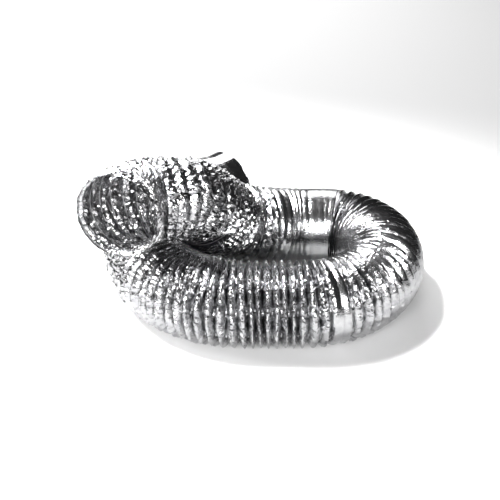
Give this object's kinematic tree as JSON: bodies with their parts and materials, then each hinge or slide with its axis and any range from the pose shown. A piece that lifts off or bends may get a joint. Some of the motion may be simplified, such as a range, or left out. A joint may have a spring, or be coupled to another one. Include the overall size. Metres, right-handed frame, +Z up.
{
  "type": "flexible air duct",
  "caption": "Flexible foil air duct for a 125 mm spigot, lying in one loop with its open mouth on top, a wire helix between two foil plies and a plain collar at its far end.",
  "frame": {"origin": "on the floor, in the middle of the part seen from above", "axes": "+Z up, +X along the front run towards the right bend, +Y from the front run towards the back run"},
  "size_m": [0.5457, 0.5111, 0.269],
  "materials": {
    "outer_foil": "bright crinkled foil",
    "inner_foil": "bright crinkled foil",
    "spring_wire": "drawn wire",
    "collar_metal": "smooth mill finish",
    "foil_tape": "smooth foil tape"
  },
  "bodies": {
    "mouth_end": {"mouth_end_outer_ply": "outer_foil", "mouth_end_inner_ply": "inner_foil", "mouth_end_wire_turns": "spring_wire"},
    "upper_run": {"upper_run_outer_ply": "outer_foil", "upper_run_inner_ply": "inner_foil", "upper_run_wire_turns": "spring_wire", "mouth_turning_folds_outer_ply": "outer_foil", "mouth_turning_folds_inner_ply": "inner_foil", "mouth_turning_folds_wire_turns": "spring_wire"},
    "riser": {"riser_outer_ply": "outer_foil", "riser_inner_ply": "inner_foil", "riser_wire_turns": "spring_wire", "mouth_stretching_folds_outer_ply": "outer_foil", "mouth_stretching_folds_inner_ply": "inner_foil", "mouth_stretching_folds_wire_turns": "spring_wire"},
    "right_half": {"back_run_outer_ply": "outer_foil", "back_run_inner_ply": "inner_foil", "back_run_wire_turns": "spring_wire", "right_bend_back_outer_ply": "outer_foil", "right_bend_back_inner_ply": "inner_foil", "right_bend_back_wire_turns": "spring_wire", "right_bend_front_outer_ply": "outer_foil", "right_bend_front_inner_ply": "inner_foil", "right_bend_front_wire_turns": "spring_wire", "lifting_folds_outer_ply": "outer_foil", "lifting_folds_inner_ply": "inner_foil", "lifting_folds_wire_turns": "spring_wire", "front_stretching_folds_outer_ply": "outer_foil", "front_stretching_folds_inner_ply": "inner_foil", "front_stretching_folds_wire_turns": "spring_wire"},
    "left_half": {"left_bend_outer_ply": "outer_foil", "left_bend_inner_ply": "inner_foil", "left_bend_wire_turns": "spring_wire", "left_run_outer_ply": "outer_foil", "left_run_inner_ply": "inner_foil", "left_run_wire_turns": "spring_wire", "swinging_folds_outer_ply": "outer_foil", "swinging_folds_inner_ply": "inner_foil", "swinging_folds_wire_turns": "spring_wire"},
    "far_run": {"far_run_outer_ply": "outer_foil", "far_run_inner_ply": "inner_foil", "far_run_wire_turns": "spring_wire", "far_stretching_folds_outer_ply": "outer_foil", "far_stretching_folds_inner_ply": "inner_foil", "far_stretching_folds_wire_turns": "spring_wire"},
    "far_end": {"far_end_outer_ply": "outer_foil", "far_end_inner_ply": "inner_foil", "far_end_wire_turns": "spring_wire", "end_collar": "collar_metal", "collar_tape": "foil_tape"}
  },
  "joints": [
    {"name": "mouth_turn", "type": "hinge", "parent": "upper_run", "child": "mouth_end", "pos_m": [-0.19035, -0.11929, 0.19953], "axis": [0, 0, 1], "range_deg": [-20, 5], "deforming": ["mouth_turning_folds_outer_ply", "mouth_turning_folds_inner_ply", "mouth_turning_folds_wire_turns"]},
    {"name": "mouth_stretch", "type": "slide", "parent": "riser", "child": "upper_run", "axis": [-0.4005, -0.6321, 0.6634], "range_m": [0, 0.056], "deforming": ["mouth_stretching_folds_outer_ply", "mouth_stretching_folds_inner_ply", "mouth_stretching_folds_wire_turns"]},
    {"name": "mouth_lift", "type": "hinge", "parent": "right_half", "child": "riser", "pos_m": [-0.03773, 0.01644, 0.09137], "axis": [-0.5478, 0.8366, 0], "range_deg": [0, 25], "deforming": ["lifting_folds_outer_ply", "lifting_folds_inner_ply", "lifting_folds_wire_turns"]},
    {"name": "front_stretch", "type": "slide", "parent": "right_half", "child": "left_half", "axis": [-1, 0, 0], "range_m": [0, 0.068], "deforming": ["front_stretching_folds_outer_ply", "front_stretching_folds_inner_ply", "front_stretching_folds_wire_turns"]},
    {"name": "far_end_swing", "type": "hinge", "parent": "left_half", "child": "far_run", "pos_m": [-0.19941, 0.04063, 0.06537], "axis": [0, 0, 1], "range_deg": [0, 40], "deforming": ["swinging_folds_outer_ply", "swinging_folds_inner_ply", "swinging_folds_wire_turns"]},
    {"name": "far_end_stretch", "type": "slide", "parent": "far_run", "child": "far_end", "axis": [0.6688, 0.7434, 0.0053], "range_m": [0, 0.062], "deforming": ["far_stretching_folds_outer_ply", "far_stretching_folds_inner_ply", "far_stretching_folds_wire_turns"]}
  ]
}
